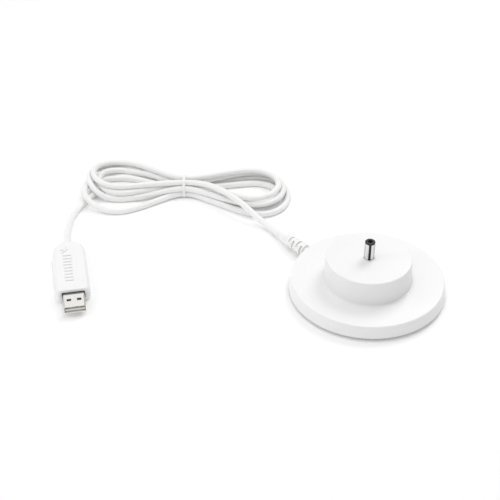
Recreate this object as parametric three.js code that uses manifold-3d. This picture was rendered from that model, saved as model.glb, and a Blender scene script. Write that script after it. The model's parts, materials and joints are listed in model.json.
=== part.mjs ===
// A low round charging base with an upright barrel pin, its thin lead tied in a hank, and a long USB-A plug.
// Millimetres, +Z up. The origin is the middle of the base's underside, where its rubber foot stands.
// The lead leaves the back left of the base (-X, +Y). The plug lies at the far left, its open end towards -Y.

import * as THREE from 'three';
import { mergeVertices } from 'three/addons/utils/BufferGeometryUtils.js';
import Module from 'manifold-3d';

const wasm = await Module();
wasm.setup();

// ---- driving dimensions ----

const GAP = 0.3; // between pieces that touch
const ROUND_SIDES = 60;
const SMALL_SIDES = 16;
const degrees = Math.PI / 180;

const base = {
  footRadius: 43.2, // the rim's lower edge
  rimRadius: 42,
  rimBottom: 1.6,
  rimTop: 8.85,
  bossFootRadius: 24.3, // the raised round boss
  bossTopRadius: 23.45,
  bossTop: 22.65,
  wall: 1.6,
  roofWall: 2,
  plateBottom: 1,
  plateTop: 2.8,
  plateRadius: 40.8,
};
const foot = { inner: 32.5, outer: 37, height: 1.6, grooveTop: 1.9 };
const closing = { circle: 17, bossRadius: 3, screwRadius: 1.05, headRadius: 2.3, headHeight: 1.2 };
const pin = {
  radius: 2.75, // the 5.5 mm barrel
  boreRadius: 1.25,
  top: 33.3,
  capDepth: 0.9, // the insulator's end, which covers the sleeve's
  slitWidth: 1.35, // two opposite slits in the sleeve, open at its top
  slitBottom: 19.2,
  slitAngle: -51.5,
  bottom: 11.6,
  sleeveWall: 0.4,
  flangeRadius: 4.5,
  flangeBottom: 16.8,
  flangeTop: 18.3,
  collarBottom: 18.6,
  collarRadius: 7,
};
const retainer = { bottom: 13.2, top: 16.5, ringRadius: 6, screwY: 9, earRadius: 2.6 };
const board = { minX: -8, maxX: 12, width: 18, bottom: 5.6, thickness: 1.6, postRadius: 2.2 };
const cable = { radius: 1.85, height: 5.1, jacketEnd: -12.5, coreRadius: 0.6, coreOffset: 0.8 };
const clamp = { x: -16, screwY: 5.5, thickness: 2.2, width: 4, halfLength: 8 };
const relief = {
  flange: 2.9,
  neck: 2.4,
  core: 2.35,
  thick: 3.75, // its radius next to the rim
  thin: 3.35, // and at the last of its grooves
  start: 4.7,
  firstGroove: 6.3,
  grooves: 4,
  pitch: 3.2,
  groove: 1,
  collarStart: 17.2,
  collarEnd: 20.8,
};
const lead = { angle: 138.5, diameter: 3.7, sides: 8 };

// The strain relief runs along this line, from inside the rim to where the bare lead begins.
const RELIEF_LINE = [
  [-29.2, 25.9, 5.1], [-32.3, 28.6, 5.1], [-36.4, 33.3, 5],
  [-41.2, 39.5, 4.5], [-44.9, 44.4, 3.8], [-46.6, 46.8, 3.4],
];
// The lead from the strain relief to the hank, then from the hank to the plug.
const BASE_TAIL = [
  [-46.8, 47.1, 3.3], [-49.2, 50.5, 2.8], [-52.6, 55.2, 2.7],
  [-56.6, 59.8, 3.3], [-60.8, 64, 5], [-62.3, 65.4, 5.8],
];
const PLUG_TAIL = [
  [-166.9, 80.8, 1.85], [-169.8, 74, 1.85], [-171.5, 67, 1.9], [-172.2, 60, 2.1],
  [-172.1, 53, 2.6], [-171.5, 46.5, 3.3], [-170.5, 40.1, 3.9], [-169.8, 36.3, 4.1],
];
// The hank lies flat, pinched by its tie into a bow: two lobes, each an ellipse, either side of a waist.
const leftLobe = { x: -150, y: 98.6, halfLength: 19.8, halfWidth: 26.8 };
const rightLobe = { x: -60, y: 90, halfLength: 21.2, halfWidth: 22.8 };
const waist = { x: -105.3, low: 89, high: 104.6 };
const hankHeight = 12.2;
const tie = { thickness: 0.7, width: 1.8, height: 11.6, clearance: 0.3 };

const plug = {
  angle: 11.3, // how far its axis turns from -Y towards +X
  tail: [-169.5, 34.7],
  length: 46.4,
  width: 19,
  height: 8.5,
  shoulder: 3.2,
  tailRound: 11, // how far from its tail the housing reaches its full width
  frontCorner: 2.4,
  seam: 4.4,
  leadHeight: 4.2,
};
const usb = {
  width: 12,
  height: 4.5,
  reach: 11.75, // how far its shell stands out of the housing
  inside: 10, // and how far it goes in
  wall: 0.3,
  bottom: 2.3,
  windowSpacing: 5.5,
  windowWidth: 2.3,
  windowLength: 1.8,
  windowFromTip: 5.7,
  tongueHeight: 1.8,
};

// ---- materials ----

function finish(color, roughness, metalness = 0) {
  return new THREE.MeshStandardMaterial({ color, roughness, metalness });
}

const whiteShell = finish(0xf4f4f4, 0.42);
const whiteCable = finish(0xf0f0ef, 0.5);
const blackPlastic = finish(0x141414, 0.4);
const greyRubber = finish(0x55585a, 0.8);
const chrome = finish(0xd6d8da, 0.15, 1);
const steel = finish(0xb9bcc0, 0.3, 1);
const gold = finish(0xd9b25a, 0.25, 1);
const greenBoard = finish(0x2f6b46, 0.6);
const copperRed = finish(0xb83a30, 0.5);
const copperBlack = finish(0x1e1e20, 0.5);
const yellowPart = finish(0xd8a23a, 0.5);

// ---- building blocks ----

function solidOf(geometry) {
  const bare = geometry.clone();
  bare.deleteAttribute('normal');
  bare.deleteAttribute('uv');
  const merged = mergeVertices(bare, 1e-4);
  const vertProperties = new Float32Array(merged.attributes.position.array);
  const triVerts = new Uint32Array(merged.index.array);
  return new wasm.Manifold(new wasm.Mesh({ numProp: 3, vertProperties, triVerts }));
}

function geometryOf(solid) {
  const mesh = solid.getMesh();
  const geometry = new THREE.BufferGeometry();
  geometry.setAttribute('position', new THREE.BufferAttribute(mesh.vertProperties, 3));
  geometry.setIndex(new THREE.BufferAttribute(mesh.triVerts, 1));
  geometry.computeVertexNormals();
  return geometry;
}

function named(name, solid, material) {
  const mesh = new THREE.Mesh(geometryOf(solid), material);
  mesh.name = name;
  return mesh;
}

// An upright round bar standing on z = bottom.
function bar(radius, bottom, top, x = 0, y = 0, sides = SMALL_SIDES) {
  const geometry = new THREE.CylinderGeometry(radius, radius, top - bottom, sides);
  geometry.rotateX(Math.PI / 2);
  geometry.translate(x, y, (top + bottom) / 2);
  return solidOf(geometry);
}

function box(minimum, maximum) {
  const size = maximum.map((value, i) => value - minimum[i]);
  const geometry = new THREE.BoxGeometry(...size);
  geometry.translate(...maximum.map((value, i) => (value + minimum[i]) / 2));
  return solidOf(geometry);
}

// A round bar lying along +X.
function lyingBar(radius, fromX, toX, y, z, sides = SMALL_SIDES) {
  const geometry = new THREE.CylinderGeometry(radius, radius, toX - fromX, sides);
  geometry.rotateZ(Math.PI / 2);
  geometry.translate((fromX + toX) / 2, y, z);
  return solidOf(geometry);
}

// A profile of [radius, height] points turned round the Z axis.
function turned(profile, sides = ROUND_SIDES) {
  const points = profile.map(([radius, height]) => new THREE.Vector2(radius, height));
  const geometry = new THREE.LatheGeometry(points, sides);
  geometry.rotateX(Math.PI / 2);
  return solidOf(geometry);
}

// A quarter-round corner of a profile, from angle to angle in degrees.
function corner(centreR, centreZ, radius, from, to, steps = 4) {
  return Array.from({ length: steps + 1 }, (_, i) => {
    const angle = (from + ((to - from) * i) / steps) * degrees;
    return [centreR + radius * Math.cos(angle), centreZ + radius * Math.sin(angle)];
  });
}

// A flat outline drawn in X and Y, and raised from z = bottom to z = top.
function raised(shape, bottom, top, curveSegments = 6) {
  const settings = { depth: top - bottom, bevelEnabled: false, curveSegments };
  const geometry = new THREE.ExtrudeGeometry(shape, settings);
  geometry.translate(0, 0, bottom);
  return solidOf(geometry);
}

function smoothLine(points) {
  return new THREE.CatmullRomCurve3(points.map((point) => new THREE.Vector3(...point)), false, 'centripetal');
}

// A round section swept along a line of points.
function tube(points, radius, sides, step) {
  const curve = smoothLine(points);
  const section = new THREE.Shape();
  for (let i = 0; i < sides; i += 1) {
    const angle = (i / sides) * Math.PI * 2;
    const point = [radius * Math.cos(angle), radius * Math.sin(angle)];
    if (i === 0) section.moveTo(...point);
    else section.lineTo(...point);
  }
  section.closePath();
  const steps = Math.max(2, Math.ceil(curve.getLength() / step));
  return solidOf(new THREE.ExtrudeGeometry(section, { steps, bevelEnabled: false, extrudePath: curve }));
}

// Bends a solid that stands along +Z so that it follows a curve from its start.
function bentAlong(solid, curve) {
  const geometry = geometryOf(solid);
  const position = geometry.attributes.position;
  const length = curve.getLength();
  const up = new THREE.Vector3(0, 0, 1);
  for (let i = 0; i < position.count; i += 1) {
    const t = Math.min(1, Math.max(0, position.getZ(i) / length));
    const centre = curve.getPointAt(t);
    const along = curve.getTangentAt(t);
    const side = new THREE.Vector3().crossVectors(up, along).normalize();
    const over = new THREE.Vector3().crossVectors(along, side);
    const overshoot = position.getZ(i) - t * length;
    const point = centre
      .addScaledVector(side, position.getY(i))
      .addScaledVector(over, -position.getX(i))
      .addScaledVector(along, overshoot);
    position.setXYZ(i, point.x, point.y, point.z);
  }
  return solidOf(geometry);
}

// A pan-head screw pointing up, its head's underside at z = seat.
function screw(x, y, seat, tip, radius, headRadius, headHeight) {
  const low = seat - headHeight;
  const slot = box([x - headRadius, y - 0.3, low - 1], [x + headRadius, y + 0.3, low + 0.4]);
  return bar(headRadius, low, seat, x, y).add(bar(radius, seat - 0.1, tip, x, y)).subtract(slot);
}

// A small screw pointing down, its head's underside at z = seat.
function smallScrew(x, y, tip, seat) {
  const slot = box([x - 2, y - 0.25, seat + 0.6], [x + 2, y + 0.25, seat + 2]);
  return bar(1.7, seat, seat + 1, x, y).add(bar(0.8, tip, seat + 0.1, x, y, 12)).subtract(slot);
}

// ---- the base's casing. Its own frame has the lead coming in along -X. ----

function closingPlaces() {
  return [0, 120, 240].map((angle) => {
    return [closing.circle * Math.cos(angle * degrees), closing.circle * Math.sin(angle * degrees)];
  });
}

function topCover() {
  const roof = base.rimTop - base.wall;
  const edge = 0.6;
  const crown = 0.5;
  const fillet = 0.8;
  const profile = [
    [pin.radius + GAP, pin.collarBottom],
    [pin.collarRadius, pin.collarBottom],
    [pin.collarRadius, base.bossTop - base.roofWall],
    [base.bossTopRadius - base.wall - 0.3, base.bossTop - base.roofWall],
    [base.bossFootRadius - base.wall - 0.3, roof],
    [base.rimRadius - base.wall, roof],
    [base.footRadius - base.wall, base.rimBottom],
    [base.footRadius, base.rimBottom],
    ...corner(base.rimRadius - edge, base.rimTop - edge, edge, 5, 90),
    ...corner(base.bossFootRadius + fillet, base.rimTop + fillet, fillet, 270, 180, 3),
    ...corner(base.bossTopRadius - crown, base.bossTop - crown, crown, 2, 90),
    [pin.radius + GAP, base.bossTop],
    [pin.radius + GAP, pin.collarBottom],
  ];
  const underRoof = base.bossTop - base.roofWall + 0.5;
  let cover = turned(profile);
  for (const [x, y] of closingPlaces()) {
    cover = cover.add(bar(closing.bossRadius, base.plateTop + 2.4 + GAP, underRoof, x, y));
    cover = cover.subtract(bar(closing.screwRadius + GAP, 0, base.plateTop + 13, x, y, 12));
  }
  for (const y of [-retainer.screwY, retainer.screwY]) {
    cover = cover.add(bar(retainer.earRadius, retainer.top + GAP, underRoof, 0, y));
    cover = cover.subtract(bar(1 + GAP, 0, retainer.top + 3.4, 0, y, 12));
  }
  const neck = relief.neck + GAP;
  const notch = lyingBar(neck, -base.footRadius - 1, -base.rimRadius + 6, 0, cable.height);
  const notchMouth = box([-base.footRadius - 1, -neck, 0], [-base.rimRadius + 6, neck, cable.height]);
  const flangeRoom = lyingBar(relief.flange + GAP, -41.2, -38.6, 0, cable.height);
  return named('base_top_cover', cover.subtract(notch).subtract(notchMouth).subtract(flangeRoom), whiteShell);
}

function bottomPlate() {
  const profile = [
    [0, base.plateBottom],
    [foot.inner - GAP, base.plateBottom],
    [foot.inner - GAP, foot.grooveTop],
    [foot.outer + GAP, foot.grooveTop],
    [foot.outer + GAP, base.plateBottom],
    [base.plateRadius, base.plateBottom],
    [base.plateRadius, base.plateTop],
    [0, base.plateTop],
  ];
  let plate = turned(profile);
  for (const [x, y] of closingPlaces()) {
    plate = plate.add(bar(closing.headRadius + 1.2, base.plateTop - 0.5, base.plateTop + 2.4, x, y));
    plate = plate.subtract(bar(closing.headRadius + GAP, 0, base.plateTop + 0.4, x, y));
    plate = plate.subtract(bar(closing.screwRadius + GAP, 0, base.plateTop + 4, x, y, 12));
  }
  for (const [x, y] of boardScrewPlaces()) {
    plate = plate.add(bar(board.postRadius, base.plateTop - 0.5, board.bottom - GAP, x, y));
    plate = plate.subtract(bar(0.8 + GAP, base.plateTop - 0.2, board.bottom + 1, x, y, 12));
  }
  for (const y of [-clamp.screwY, clamp.screwY]) {
    plate = plate.add(bar(2.4, base.plateTop - 0.5, cable.height + 1.2, clamp.x, y));
    plate = plate.subtract(bar(0.8 + GAP, base.plateTop - 0.2, cable.height + 3, clamp.x, y, 12));
  }
  const room = relief.flange + GAP;
  const flangeRoom = box([-base.footRadius, -room, cable.height - room], [-38.6, room, base.plateTop + 1]);
  return named('base_bottom_plate', plate.subtract(flangeRoom), whiteShell);
}

function footRing() {
  const profile = [
    [foot.inner, foot.height], [foot.inner, 0.4], [foot.inner + 0.4, 0],
    [foot.outer - 0.4, 0], [foot.outer, 0.4], [foot.outer, foot.height], [foot.inner, foot.height],
  ];
  return named('foot_ring', turned(profile), greyRubber);
}

function closingScrews() {
  return closingPlaces().map(([x, y], i) => {
    const seat = base.plateTop + 0.1;
    const body = screw(x, y, seat, seat + 11, closing.screwRadius, closing.headRadius, closing.headHeight);
    return named(`base_screw_${i + 1}`, body, steel);
  });
}

// ---- the barrel pin ----

function barrelSleeve() {
  const inside = pin.radius - pin.sleeveWall;
  const top = pin.top - pin.capDepth - GAP;
  const profile = [
    [inside, pin.bottom],
    [pin.radius, pin.bottom],
    [pin.radius, pin.flangeBottom],
    [pin.flangeRadius, pin.flangeBottom],
    [pin.flangeRadius, pin.flangeTop],
    [pin.radius, pin.flangeTop],
    [pin.radius, top],
    [inside, top],
    [inside, pin.bottom],
  ];
  const half = pin.slitWidth / 2;
  const slits = box([-pin.radius - 1, -half, pin.slitBottom], [pin.radius + 1, half, pin.top]);
  return named('barrel_sleeve', turned(profile, 32).subtract(slits.rotate([0, 0, pin.slitAngle])), chrome);
}

function barrelInsulator() {
  const outside = pin.radius - pin.sleeveWall - 0.12;
  const contactRoom = 1.62;
  const bevel = 0.3;
  const profile = [
    [contactRoom, pin.bottom - 1],
    [outside, pin.bottom - 1],
    [outside, pin.top - pin.capDepth],
    [pin.radius, pin.top - pin.capDepth],
    [pin.radius, pin.top - bevel],
    [pin.radius - bevel, pin.top],
    [pin.boreRadius + 0.2, pin.top],
    [pin.boreRadius, pin.top - 0.2],
    [pin.boreRadius, pin.top - 2.4],
    [contactRoom, pin.top - 2.4],
    [contactRoom, pin.bottom - 1],
  ];
  return named('barrel_insulator', turned(profile, 32), blackPlastic);
}

function barrelContact() {
  const low = pin.bottom - 1.6;
  const high = pin.top - 2.7;
  const profile = [[1.15, low], [1.5, low], [1.5, high], [1.15, high], [1.15, low]];
  const tail = bar(0.5, low - 1.2, low + 0.3, 1.3, 0, 12);
  return named('barrel_inner_contact', turned(profile, 24).add(tail), gold);
}

function barrelRetainer() {
  let body = bar(retainer.ringRadius, retainer.bottom, retainer.top, 0, 0, 32);
  body = body.add(box([-2.2, -retainer.screwY, retainer.bottom], [2.2, retainer.screwY, retainer.top - 0.4]));
  for (const y of [-retainer.screwY, retainer.screwY]) {
    body = body.add(bar(retainer.earRadius, retainer.bottom, retainer.top, 0, y));
    body = body.subtract(bar(1 + GAP, 0, 30, 0, y, 12));
  }
  return named('barrel_retainer', body.subtract(bar(pin.radius + GAP, 0, 30, 0, 0, 32)), blackPlastic);
}

function retainerScrews() {
  return [-retainer.screwY, retainer.screwY].map((y, i) => {
    const seat = retainer.bottom - 0.1;
    return named(`retainer_screw_${i + 1}`, screw(0, y, seat, seat + 6.2, 1, 2, 1.1), steel);
  });
}

function sleeveTag() {
  const top = retainer.bottom - 0.25;
  const ring = bar(4.4, top - 0.5, top, 0, 0, 24).add(box([-7.4, -1, top - 0.5], [-3.6, 1, top]));
  const hole = bar(pin.radius + 0.15, 0, 30, 0, 0, 32).add(bar(0.55, 0, 30, -6.4, 0, 12));
  return named('sleeve_solder_tag', ring.subtract(hole), gold);
}

// ---- the electrical parts ----

function boardScrewPlaces() {
  return [[board.maxX - 2.4, -board.width / 2 + 2.4], [board.maxX - 2.4, board.width / 2 - 2.4]];
}

function chargeBoard() {
  const half = board.width / 2;
  let body = box([board.minX, -half, board.bottom], [board.maxX, half, board.bottom + board.thickness]);
  for (const [x, y] of boardScrewPlaces()) {
    body = body.subtract(bar(0.8 + GAP, 0, 20, x, y, 12));
  }
  return named('charge_board', body, greenBoard);
}

function boardScrews() {
  const seat = board.bottom + board.thickness + 0.1;
  return boardScrewPlaces().map(([x, y], i) => {
    return named(`board_screw_${i + 1}`, smallScrew(x, y, base.plateTop + 0.1, seat), steel);
  });
}

function boardParts() {
  const top = board.bottom + board.thickness + 0.1;
  const fuse = box([-5.4, 3.2, top], [-0.9, 6.4, top + 1.2]);
  const capacitor = bar(2.4, top, top + 4.2, 5.2, 0, 20);
  const chip = box([-5.2, -6.4, top], [-1.4, -3.2, top + 1.1]);
  return [
    named('resettable_fuse', fuse, yellowPart),
    named('filter_capacitor', capacitor, blackPlastic),
    named('protection_chip', chip, blackPlastic),
  ];
}

function pinWires() {
  const top = board.bottom + board.thickness + cable.coreRadius + 0.15;
  const toTag = [[-6.6, 0, top], [-6.9, -0.3, top + 1.4], [-6.4, 0, retainer.bottom - 0.25 - 0.5 - 0.3]];
  const toContact = [[1.6, -5.4, top], [1.7, -3.6, top + 0.8], [1.4, -2, top + 1.5], [1.3, -0.9, top + 1.5]];
  return [
    named('wire_to_tag', tube(toTag, 0.5, 8, 1.2), copperBlack),
    named('wire_to_contact', tube(toContact, 0.5, 8, 1.2), copperRed),
  ];
}

// One of a lead's two cores: the red positive one on side 1, the black negative one on side -1.
function coreWire(start, side, body) {
  const [ending, colour] = side > 0 ? ['positive', copperRed] : ['negative', copperBlack];
  return named(`${start}_${ending}`, body, colour);
}

function cableInside() {
  const jacket = lyingBar(cable.radius, -38.8, cable.jacketEnd, 0, cable.height, 12);
  const cores = [1, -1].map((side) => {
    const y = side * cable.coreOffset;
    const start = cable.jacketEnd + GAP;
    const line = [
      [start, y, cable.height],
      [start + 1.3, y * 1.6, cable.height + 0.8],
      [board.minX - 0.3, y * 3, board.bottom + board.thickness + 0.8],
      [board.minX + 1.8, y * 4, board.bottom + board.thickness + cable.coreRadius + 0.2],
    ];
    const body = tube(line, cable.coreRadius, 8, 1);
    return coreWire('lead_core', side, body);
  });
  return [named('lead_inside_base', jacket, whiteCable), ...cores];
}

function cableClamp() {
  const bottom = cable.height + 1.2 + GAP;
  const top = bottom + clamp.thickness;
  const half = clamp.width / 2;
  let body = box([clamp.x - half, -clamp.halfLength, bottom], [clamp.x + half, clamp.halfLength, top]);
  body = body.subtract(lyingBar(cable.radius + GAP, clamp.x - 4, clamp.x + 4, 0, cable.height, 16));
  const screws = [-clamp.screwY, clamp.screwY].map((y, i) => {
    body = body.subtract(bar(0.8 + GAP, 0, 20, clamp.x, y, 12));
    return named(`clamp_screw_${i + 1}`, smallScrew(clamp.x, y, base.plateTop + 0.4, top + 0.1), steel);
  });
  return [named('cable_clamp', body, whiteShell), ...screws];
}

// ---- the strain relief: a ribbed sleeve, bent along its line ----

function strainRelief() {
  const curve = smoothLine(RELIEF_LINE);
  const length = curve.getLength();
  const { flange, neck, core, start, collarStart, collarEnd } = relief;
  const half = relief.groove / 2;
  const taper = (relief.thick - relief.thin) / (collarStart - start);
  const radiusAt = (along) => relief.thick - taper * (along - start);
  const profile = [[0, 0.1], [flange, 0.1], [flange, 1.5], [neck, 1.5], [neck, start], [relief.thick, start]];
  for (let i = 0; i < relief.grooves; i += 1) {
    const middle = relief.firstGroove + i * relief.pitch;
    profile.push([radiusAt(middle), middle - half], [core, middle - half]);
    profile.push([core, middle + half], [radiusAt(middle), middle + half]);
  }
  profile.push([relief.thin, collarStart], [2.85, collarEnd], [2.45, collarEnd + 0.1]);
  profile.push([2.3, length - 1], [cable.radius + 0.1, length], [0, length]);
  return named('strain_relief', bentAlong(turned(profile, 20), curve), whiteCable);
}

// ---- the lead outside the base ----

function leadTubes() {
  return [
    named('cord_base_tail', tube(BASE_TAIL, lead.diameter / 2, lead.sides, 9), whiteCable),
    named('cord_plug_tail', tube(PLUG_TAIL, lead.diameter / 2, lead.sides, 9), whiteCable),
  ];
}

function hankOutline() {
  const outline = new THREE.Shape();
  const [left, right] = [leftLobe, rightLobe];
  const rightLow = right.y - right.halfWidth;
  const rightHigh = right.y + right.halfWidth;
  const leftLow = left.y - left.halfWidth;
  const leftHigh = left.y + left.halfWidth;
  const lean = 16;
  const quarter = Math.PI / 2;
  outline.moveTo(waist.x, waist.low);
  outline.bezierCurveTo(waist.x + lean, waist.low, right.x - lean, rightLow, right.x, rightLow);
  outline.absellipse(right.x, right.y, right.halfLength, right.halfWidth, -quarter, quarter, false);
  outline.bezierCurveTo(right.x - lean, rightHigh, waist.x + lean, waist.high, waist.x, waist.high);
  outline.bezierCurveTo(waist.x - lean, waist.high, left.x + lean, leftHigh, left.x, leftHigh);
  outline.absellipse(left.x, left.y, left.halfLength, left.halfWidth, quarter, 3 * quarter, false);
  outline.bezierCurveTo(left.x + lean, leftLow, waist.x - lean, waist.low, waist.x, waist.low);
  return outline;
}

// The hank's waist is cut in all round, so that the tie lies in it.
function cordHank() {
  const half = tie.width / 2 + GAP;
  const depth = tie.thickness + tie.clearance;
  const belt = box([waist.x - half, 0, -1], [waist.x + half, 200, hankHeight + 1]);
  const low = [waist.x - half - 1, waist.low + depth, depth];
  const high = [waist.x + half + 1, waist.high - depth, tie.height - depth];
  const body = raised(hankOutline(), 0, hankHeight, 8).subtract(belt.subtract(box(low, high)));
  return named('cord_hank', body, whiteCable);
}

function cordTie() {
  const half = tie.width / 2;
  const wall = tie.thickness;
  const outer = box([waist.x - half, waist.low, 0], [waist.x + half, waist.high, tie.height]);
  const low = [waist.x - 5, waist.low + wall, wall];
  const high = [waist.x + 5, waist.high - wall, tie.height - wall];
  const inner = box(low, high);
  return named('cord_tie', outer.subtract(inner), whiteCable);
}

// ---- the plug. Its own frame has the tail at the origin and the open end towards -Y. ----

function housingOutline(inset) {
  const half = plug.width / 2 - inset;
  const tail = -inset;
  const front = -plug.length + inset * 0.4;
  const round = plug.tailRound;
  const bend = plug.frontCorner;
  const outline = new THREE.Shape();
  outline.moveTo(0, tail);
  outline.bezierCurveTo(-half * 0.7, tail, -half, tail - round * 0.35, -half, tail - round);
  outline.lineTo(-half, front + bend);
  outline.quadraticCurveTo(-half, front, -half + bend, front);
  outline.lineTo(half - bend, front);
  outline.quadraticCurveTo(half, front, half, front + bend);
  outline.lineTo(half, tail - round);
  outline.bezierCurveTo(half, tail - round * 0.35, half * 0.7, tail, 0, tail);
  return outline;
}

// One half of the housing: layers of the outline that step in towards its flat face.
function housingHalf(flat, seam, up) {
  const steps = 3;
  const drop = plug.shoulder;
  let body = raised(housingOutline(0), Math.min(seam, flat - up * drop), Math.max(seam, flat - up * drop), 5);
  for (let i = 0; i < steps; i += 1) {
    const angle = ((i + 1) / steps) * 70 * degrees;
    const from = flat - up * drop + (up * drop * i) / steps - up * 0.05;
    const to = flat - up * drop + (up * drop * (i + 1)) / steps;
    const inset = (1 - Math.cos(angle)) * 1.9;
    body = body.add(raised(housingOutline(inset), Math.min(from, to), Math.max(from, to), 5));
  }
  return body;
}

function plugHollow(bottom, top) {
  return box([-5.6, -plug.length + 11, bottom], [5.6, -9, top]);
}

// A round bar lying along Y at the lead's height, from y = far to y = near.
function leadBar(radius, near, far) {
  return lyingBar(radius, -near, -far, 0, 0, 12).rotate([0, 0, -90]).translate([0, 0, plug.leadHeight]);
}

function plugShells() {
  const wide = usb.width / 2 + GAP;
  const deep = -plug.length + usb.inside + 1.5;
  const room = box([-wide, -plug.length - 1, usb.bottom - GAP], [wide, deep, usb.bottom + usb.height + GAP]);
  const leadHole = leadBar(cable.radius + GAP, 2, -11);
  const hollow = plugHollow(1.4, plug.height - 1.3);
  const halves = [
    ['plug_lower_shell', housingHalf(0, plug.seam - GAP / 2, -1)],
    ['plug_upper_shell', housingHalf(plug.height, plug.seam + GAP / 2, 1)],
  ];
  return halves.map(([name, half]) => {
    return named(name, half.subtract(hollow).subtract(room).subtract(leadHole), whiteShell);
  });
}

function usbShell() {
  const front = -plug.length - usb.reach;
  const back = -plug.length + usb.inside;
  const half = usb.width / 2;
  const low = usb.bottom;
  const high = usb.bottom + usb.height;
  const wall = usb.wall;
  let body = box([-half, front, low], [half, back, high]);
  body = body.subtract(box([-half + wall, front - 1, low + wall], [half - wall, back + 1, high - wall]));
  const halfWidth = usb.windowWidth / 2;
  const halfLength = usb.windowLength / 2;
  const y = front + usb.windowFromTip;
  for (const x of [-usb.windowSpacing / 2, usb.windowSpacing / 2]) {
    const window = box([x - halfWidth, y - halfLength, low - 1], [x + halfWidth, y + halfLength, high + 1]);
    body = body.subtract(window);
  }
  return named('usb_shell', body, chrome);
}

function usbTongue() {
  const front = -plug.length - usb.reach + 0.9;
  const back = -plug.length + 9.6;
  const half = usb.width / 2 - usb.wall - 0.15;
  const low = usb.bottom + usb.wall + 0.15;
  return named('usb_tongue', box([-half, front, low], [half, back, low + usb.tongueHeight]), whiteShell);
}

function usbContacts() {
  const low = usb.bottom + usb.wall + 0.15 + usb.tongueHeight + 0.1;
  const front = -plug.length - usb.reach + 1.6;
  return [-3.5, -1, 1, 3.5].map((x, i) => {
    const outer = Math.abs(x) > 2;
    const tip = front + (outer ? 0 : 1);
    const strip = box([x - 0.5, tip, low], [x + 0.5, -plug.length + 9.2, low + 0.2]);
    return named(`usb_contact_${i + 1}`, strip, gold);
  });
}

function plugInsides() {
  const low = 3.3;
  const top = low + 1;
  const back = -plug.length + 12;
  const cores = [1, -1].map((side) => {
    const line = [
      [side * 0.9, -10.9, plug.leadHeight],
      [side * 1.6, -12.4, plug.leadHeight + 0.4],
      [side * 2.4, -14.6, top + 0.75],
    ];
    const body = tube(line, 0.5, 8, 1.2);
    return coreWire('plug_core', side, body);
  });
  return [
    named('lead_inside_plug', leadBar(cable.radius, -0.6, -10.6), whiteCable),
    ...cores,
    named('plug_board', box([-5.2, back, low], [5.2, -13.2, top]), greenBoard),
    named('plug_chip', box([-2, back + 8, top + 0.1], [2, back + 12, top + 1.1]), blackPlastic),
    named('plug_capacitor', box([-4, back + 3, top + 0.1], [-1.6, back + 4.6, top + 1.3]), yellowPart),
  ];
}

// ---- the whole part ----

const part = new THREE.Group();

const baseGroup = new THREE.Group();
baseGroup.rotation.z = (lead.angle - 180) * degrees;
baseGroup.add(topCover(), bottomPlate(), footRing(), ...closingScrews());
baseGroup.add(barrelSleeve(), barrelInsulator(), barrelContact(), sleeveTag());
baseGroup.add(barrelRetainer(), ...retainerScrews());
baseGroup.add(chargeBoard(), ...boardScrews(), ...boardParts());
baseGroup.add(...pinWires(), ...cableInside(), ...cableClamp());

const plugGroup = new THREE.Group();
plugGroup.position.set(plug.tail[0], plug.tail[1], 0);
plugGroup.rotation.z = plug.angle * degrees;
plugGroup.add(...plugShells(), usbShell(), usbTongue(), ...usbContacts(), ...plugInsides());

part.add(baseGroup, strainRelief(), ...leadTubes(), cordHank(), cordTie(), plugGroup);

export default part;
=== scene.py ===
# A low round charging base with an upright barrel pin, its thin lead tied in a hank, and a long USB-A plug.
# Everything is in metres in the part's own frame: +Z up, the origin under the middle of the base.

import json
import math

import bmesh
import bpy
import numpy as np
from mathutils import Matrix, Vector
from mathutils.geometry import convex_hull_2d


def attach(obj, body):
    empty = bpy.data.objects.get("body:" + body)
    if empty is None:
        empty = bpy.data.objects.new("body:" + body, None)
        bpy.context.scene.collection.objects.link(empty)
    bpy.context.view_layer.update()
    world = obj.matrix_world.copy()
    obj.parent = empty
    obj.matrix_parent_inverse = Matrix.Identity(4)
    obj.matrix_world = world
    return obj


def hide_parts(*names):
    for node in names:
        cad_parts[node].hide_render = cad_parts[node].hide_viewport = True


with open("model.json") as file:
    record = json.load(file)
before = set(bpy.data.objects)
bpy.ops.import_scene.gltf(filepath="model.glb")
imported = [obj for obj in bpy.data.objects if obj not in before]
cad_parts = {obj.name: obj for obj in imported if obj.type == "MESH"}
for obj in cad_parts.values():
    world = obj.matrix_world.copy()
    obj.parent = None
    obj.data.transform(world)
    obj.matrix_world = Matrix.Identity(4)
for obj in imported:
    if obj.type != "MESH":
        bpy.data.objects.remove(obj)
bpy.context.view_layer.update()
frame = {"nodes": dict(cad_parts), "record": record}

MM = 0.001

# ---- sizes, in millimetres ----

# Most are the CAD part's. Some roundings, the shell's windows, the tongue with its contacts, and the strain
# relief's slots and core differ from it a little, and the ridges are only in the looks.
BASE = {
    "foot_radius": 43.2,
    "rim_radius": 42,
    "rim_bottom": 1.6,
    "rim_top": 8.85,
    "boss_foot_radius": 24.3,
    "boss_top_radius": 23.45,
    "boss_top": 22.65,
    "wall": 1.6,
    "roof": 2,
    "collar_radius": 7,
    "collar_bottom": 18.6,
}
FOOT = {"inner": 32.5, "outer": 37, "height": 1.6}
PIN = {
    "radius": 2.75,
    "top": 33.3,
    "bottom": 11.6,
    "wall": 0.4,
    "cap": 0.9,
    "flange": 4.5,
    "flange_bottom": 16.8,
    "flange_top": 18.3,
    "bore": 1.25,
    "bore_depth": 2.4,
    "contact_bore": 1.62,
}
SLIT_WIDTH = 1.35
SLIT_BOTTOM = 19
SLIT_ANGLE = -93  # the way that one of the sleeve's two slits faces
CABLE_HEIGHT = 5.1
LEAD_ANGLE = 138.5
CORD_D = 3.7 * MM
TIE = {"x": -105.3, "low": 89.0, "high": 104.6, "top": 11.6, "thickness": 0.7, "width": 1.8}
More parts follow.
